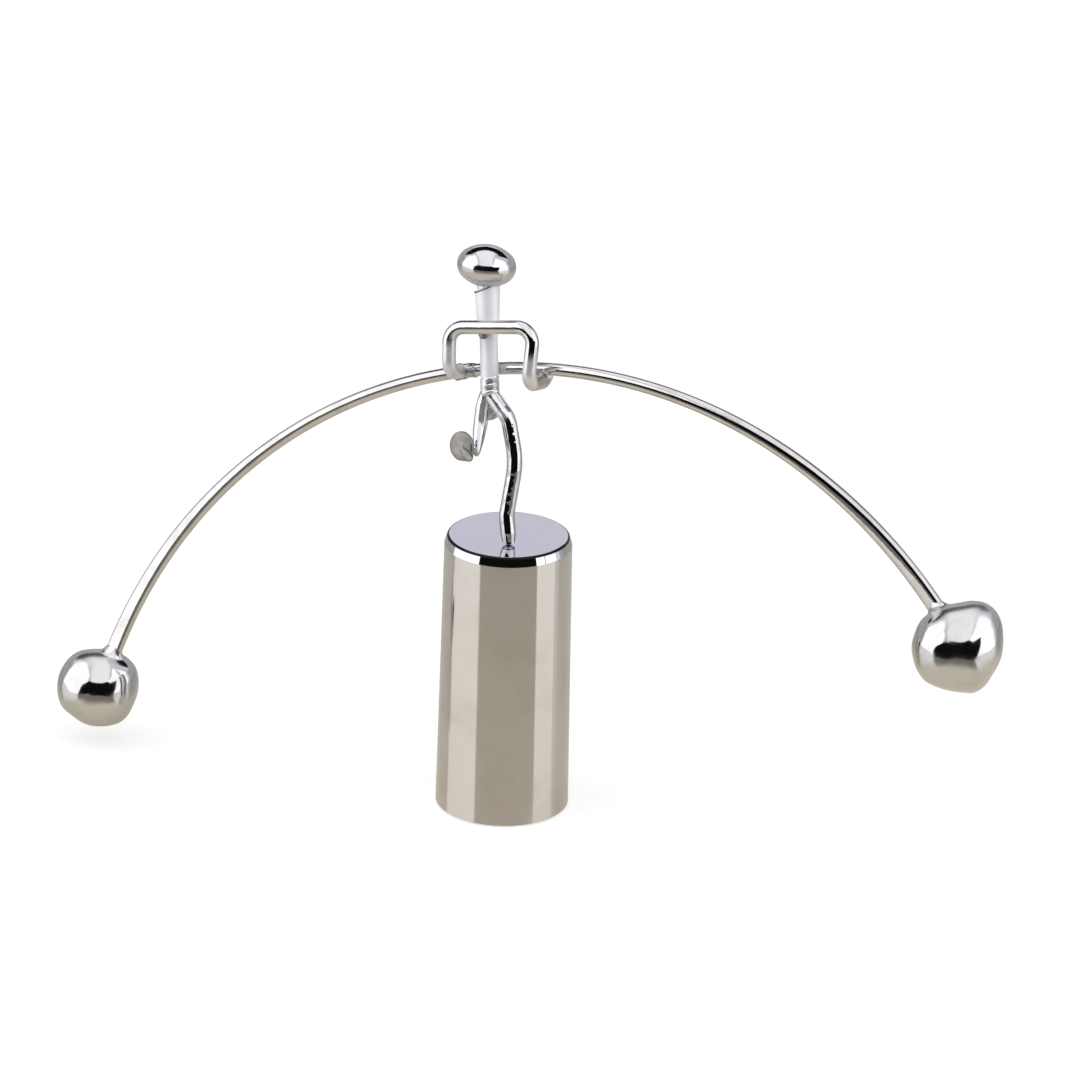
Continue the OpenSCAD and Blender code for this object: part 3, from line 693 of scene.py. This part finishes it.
def pressed_foot(material):
    """The foot: a disc with a soft rim, pinched to a tip beside the shin, and its crease."""
    made = bmesh.new()
    bmesh.ops.create_icosphere(made, subdivisions=7, radius=1.0)
    own = facing(FOOT_FACING)
    for vert in made.verts:
        out = vert.co.normalized()
        flat, thick = out.xy.length, abs(out.z)
        size = (flat ** FOOT_SQUARE + thick ** FOOT_SQUARE) ** (-1 / FOOT_SQUARE)
        off_tip = (math.atan2(out.y, out.x) - TIP_TURN + math.pi) % (2 * math.pi) - math.pi
        stretch = 1 + TIP_STRETCH * math.exp(-(off_tip / TIP_WIDTH) ** 2)
        spot = Vector((out.x, out.y, 0.0)) * size * FOOT_RADIUS * stretch
        tipward = spot.x * math.cos(TIP_TURN) + spot.y * math.sin(TIP_TURN)
        aside = spot.y * math.cos(TIP_TURN) - spot.x * math.sin(TIP_TURN)
        grown = min(max(tipward / FOOT_RADIUS * CREASE_GROWTH[0] - CREASE_GROWTH[1], 0.0), 1.0)
        crease = CREASE_RISE * math.exp(-(aside / CREASE_WIDTH) ** 2)
        dent = DENT_DEPTH * math.exp(-((aside - DENT_ASIDE) / CREASE_WIDTH) ** 2)
        lump = noise.noise(spot / FOOT_LUMP_SIZE) * FOOT_LUMP
        front = min(max(out.z * FACE_EDGE, 0.0), 1.0)
        spot.z = out.z * size * FOOT_HALF_THICK + lump + (crease - dent) * grown * front
        vert.co = FOOT_MIDDLE + own @ spot
    finished("free_foot_pressed", made, material, "free_foot")


def hand_solder(material):
    """A smear of solder round the bar, thick at the left hand and thinner towards the torso."""
    made = bmesh.new()
    bmesh.ops.create_uvsphere(made, u_segments=40, v_segments=48, radius=1.0)
    for vert in made.verts:
        part = (1 - vert.co.z) / 2
        turn = math.atan2(vert.co.y, vert.co.x)
        across = SOLDER_START + (SOLDER_END - SOLDER_START) * part
        thick = SOLDER_THICK[0] + (SOLDER_THICK[1] - SOLDER_THICK[0]) * part
        thick *= min(vert.co.xy.length * SOLDER_BLUNT[0], 1.0) ** SOLDER_BLUNT[1]
        angle = math.asin((across - ARC_MIDDLE.x) / ARC_RADIUS)
        middle = on_arc(angle)
        spot = on_arc(angle, thick * math.cos(turn)) + Vector((0.0, thick * math.sin(turn), 0.0))
        lump = noise.noise(spot / SOLDER_LUMP_SIZE) * SOLDER_LUMP
        vert.co = middle + (spot - middle) * (1 + lump)
    bmesh.ops.recalc_face_normals(made, faces=made.faces)
    bmesh.ops.transform(made, matrix=figure_place(), verts=made.verts)
    finished("left_hand_solder", made, material, "left_hand_weld")


def place_camera():
    across, upward, back = view_axes()
    turn = math.radians(VIEW_TURN)
    right = Vector((math.cos(turn), math.sin(turn), 0.0))
    lens = bpy.data.cameras.new("camera")
    lens.lens, lens.sensor_width = VIEW_LENS, SENSOR_WIDTH
    lens.clip_start, lens.clip_end = 0.05, 20.0
    camera = bpy.data.objects.new("camera", lens)
    bpy.context.scene.collection.objects.link(camera)
    pose = Matrix((across, upward, back)).transposed().to_4x4()
    pose.translation = right * AIM_ACROSS + Vector((0.0, 0.0, AIM_HEIGHT)) + back * VIEW_DISTANCE
    camera.matrix_world = pose
    bpy.context.scene.camera = camera


def bare_tree(owner):
    """The emptied node tree of a new material or world."""
    owner.use_nodes = True
    owner.node_tree.nodes.clear()
    return owner.node_tree


def rays(tree):
    """Two switches: 1 for what the camera sees, and 1 for what the camera, metal or glass sees."""
    path = tree.nodes.new("ShaderNodeLightPath")
    camera, glossy, clear = (
        Wire(tree, path.outputs[f"Is {kind} Ray"]) for kind in ("Camera", "Glossy", "Transmission")
    )
    return camera, camera.most(glossy).most(clear)


def floor_finish():
    """Pale paper. Metal also sees a sheen on it, in which the cards and the dark front show."""
    material = bpy.data.materials.new("pale floor")
    tree = bare_tree(material)
    camera, seen = rays(tree)
    mirrored = 1 - camera
    paper = seen.node("ShaderNodeBsdfDiffuse", inputs={"Color": grey(PAPER)})
    place = seen.node("ShaderNodeTexCoord", output=3)
    turn = math.radians(VIEW_TURN)
    toward = place.node(
        "ShaderNodeVectorMath", {"operation": "DOT_PRODUCT"},
        {0: place, 1: (math.sin(turn), -math.cos(turn), 0.0)}, 1,
    )
    shaded = 1 - (1 - toward.step(*BEHIND)) * FLOOR_SHADE
    in_metal = shaded.node("ShaderNodeVectorMath", {"operation": "SCALE"}, {0: FLOOR_IN_METAL, 3: shaded})
    to_camera = place.away().step(*FAR_OFF).blend(grey(NEAR_GLOW), grey(FAR_GLOW))
    glow = seen.node("ShaderNodeEmission", inputs={"Color": mirrored.blend(to_camera, in_metal)})
    both = seen.node("ShaderNodeAddShader", inputs={0: paper, 1: glow})
    sheen = seen.node("ShaderNodeBsdfAnisotropic", inputs={
        "Color": grey(SHEEN_TONE), "Roughness": SHEEN_ROUGHNESS,
    })
    edge_on = seen.node("ShaderNodeLayerWeight", inputs={"Blend": 0.5}, output=1).step(*SHEEN_EDGE)
    table = seen.node("ShaderNodeMixShader", inputs={
        0: edge_on * SHEEN_SHARE * mirrored, 1: both, 2: sheen,
    })
    shown = seen.node("ShaderNodeMixShader", inputs={0: seen, 1: paper, 2: table})
    out = tree.nodes.new("ShaderNodeOutputMaterial")
    tree.links.new(shown.socket, out.inputs["Surface"])
    return material


def lay_floor():
    made = bmesh.new()
    bmesh.ops.create_grid(made, x_segments=1, y_segments=1, size=FLOOR_WIDTH / 2)
    placed("floor", made, floor_finish())


def fill_world():
    """A dim world, which is seen as white by the camera, metal and glass."""
    world = bpy.data.worlds.new("studio")
    tree = bare_tree(world)
    _, seen = rays(tree)
    dim = seen.node("ShaderNodeBackground", inputs={"Color": grey(1.0), "Strength": WORLD_LIGHT})
    white = seen.node("ShaderNodeBackground", inputs={"Color": WORLD_WHITE})
    shown = seen.node("ShaderNodeMixShader", inputs={0: seen, 1: dim, 2: white})
    out = tree.nodes.new("ShaderNodeOutputWorld")
    tree.links.new(shown.socket, out.inputs["Surface"])
    bpy.context.scene.world = world


def direction(turn, tilt):
    """The direction at a turn from the camera's side and a height, both in degrees."""
    turn, tilt = math.radians(turn), math.radians(tilt)
    away = Vector((math.sin(turn) * math.cos(tilt), -math.cos(turn) * math.cos(tilt), math.sin(tilt)))
    return Matrix.Rotation(math.radians(VIEW_TURN), 3, "Z") @ away


def overhead(across, over):
    """The direction at an angle across and one up from the camera's side and over the zenith."""
    across, over = math.radians(across), math.radians(over)
    away = Vector((math.sin(across), -math.cos(across) * math.cos(over), math.cos(across) * math.sin(over)))
    return Matrix.Rotation(math.radians(VIEW_TURN), 3, "Z") @ away


def lamp(name, level, across, deep, turn, tilt, distance):
    """A soft lamp, which lights the scene and isn't mirrored as such."""
    light = bpy.data.lights.new(name, "AREA")
    light.shape, light.size, light.size_y = "RECTANGLE", across, deep
    light.energy = level * across * deep * LAMP_POWER
    item = bpy.data.objects.new(name, light)
    bpy.context.scene.collection.objects.link(item)
    away = direction(turn, tilt)
    item.matrix_world = away.to_track_quat("Z", "Y").to_matrix().to_4x4()
    item.matrix_world.translation = away * distance + Vector((0.0, 0.0, EYE_HEIGHT))
    item.visible_camera = item.visible_glossy = False


def glowing(name, strength):
    """A card's material: an even glow."""
    material = bpy.data.materials.new(name)
    tree = bare_tree(material)
    glow = tree.nodes.new("ShaderNodeEmission")
    glow.inputs["Color"].default_value = grey(1.0, 0.0, CARD_TINT)
    glow.inputs["Strength"].default_value = strength
    tree.links.new(glow.outputs[0], tree.nodes.new("ShaderNodeOutputMaterial").inputs["Surface"])
    return material


def dome_card(name, kind, levels, aim=direction):
    """A card on a dome round the toy that only metal mirrors."""
    strength, distance = kind
    made = bmesh.new()
    spans = len(levels) - 1
    bmesh.ops.create_grid(made, x_segments=24, y_segments=spans * 6, size=0.5)
    for vert in made.verts:
        step = (vert.co.y + 0.5) * spans
        low = min(int(step), spans - 1)
        tilt, left, right = (a + (b - a) * (step - low) for a, b in zip(levels[low], levels[low + 1]))
        away = aim(left + (right - left) * (vert.co.x + 0.5), tilt)
        vert.co = away * distance + Vector((0.0, 0.0, EYE_HEIGHT))
    card = placed(name, made, glowing(name, strength))
    card.visible_camera = card.visible_diffuse = card.visible_shadow = False


place_camera()
lay_floor()
fill_world()
bpy.context.scene.view_settings.view_transform = "Standard"
for name, setting in LAMPS.items():
    lamp(name, *setting)
dome_card("left panel", PANEL, LEFT_PANEL)
dome_card("right panel", PANEL, RIGHT_PANEL)
dome_card("overhead window", WINDOW, OVERHEAD_WINDOW, overhead)
dome_card("open front", FRONT, OPEN_FRONT)
dome_card("right wall", WALL, RIGHT_WALL)
dome_card("back wall", WALL, BACK_WALL)
dome_card("left wall", WALL, LEFT_WALL)
dome_card("back flag", FRONT, BACK_FLAG)

bar_finish = polished(
    "bar chrome", grey(0.57, 0.04), grey(0.5, 0.06), gloss=0.04, haze=0.06, wobble=0.1, wave=200.0,
)
tip_finish = polished(
    "bright chrome", grey(0.57, 0.0, 0.03), grey(0.52), gloss=0.03, haze=0.05, wobble=0.12, wave=260.0,
)
weld_finish = welded(
    "weld", grey(0.6, 0.02, 0.01), grey(0.3, 0.03, 0.04), rough=0.2, depth=0.3 * MM,
)
waist_finish = welded(
    "waist weld", grey(0.85, 0.0, 0.03), grey(0.4, 0.0, 0.04), rough=0.25, depth=0.3 * MM,
)
smear_finish = welded(
    "bluish solder", grey(0.4, 0.0, 0.1), grey(0.16, 0.0, 0.14), rough=0.22, depth=0.3 * MM,
)
# The neck seam's finish: near black, painted shade where the head meets the torso
neck_shade_finish = welded("neck seam painted shade", grey(0.2, 0.0, 0.03), grey(0.06), rough=0.3, depth=0.2 * MM)
# The shoulder weld: a darker solder all over
dark_weld_finish = welded("dark weld", grey(0.35, 0.0, 0.03), grey(0.1), rough=0.25, depth=0.3 * MM)
foot_finish = sanded("sanded foot", grey(0.3, 0.07), grey(0.22, 0.12), rough=0.3)
leg_finish = legs_chrome()

for name, material in {
    "base_shell": mirror_base(),
    "base_ballast": dull("iron", grey(0.12), grey(0.2, 0.2), rough=0.6, grain=700.0, depth=0.4 * MM),
    "base_disc": dull("board", BOARD_LIGHT, BOARD_DARK, rough=0.8, grain=500.0, depth=0.4 * MM),
    "base_pad": dull("rubber", grey(0.03), grey(0.05), rough=0.65, grain=1500.0, depth=0.2 * MM),
    "head": oval_head(),
    "torso": turned_torso(),
    "arms": hooked_arms(figure_place() @ (HOOK * MM), figure_place() @ (SHOULDER * MM)),
    "standing_leg": leg_finish,
    "toe_ball": tip_finish,
    "toe_braze": weld_finish,
    "neck_weld": waist_finish,
    "shoulder_weld": dark_weld_finish,
    "waist_weld": waist_finish,
    "crotch_weld": weld_finish,
    "right_hand_weld": weld_finish,
    "foot_weld": weld_finish,
}.items():
    dress(name, material)

swept_bar(bar_finish)
rough_ball("left_ball_rough", -1, cast_ball("left ball chrome", -1))
rough_ball("right_ball_rough", 1, cast_ball("right ball chrome", 1))
solder_collars(weld_finish)
pressed_foot(foot_finish)
hand_solder(smear_finish)
tapered_leg(leg_finish)
neck_seam(neck_shade_finish)
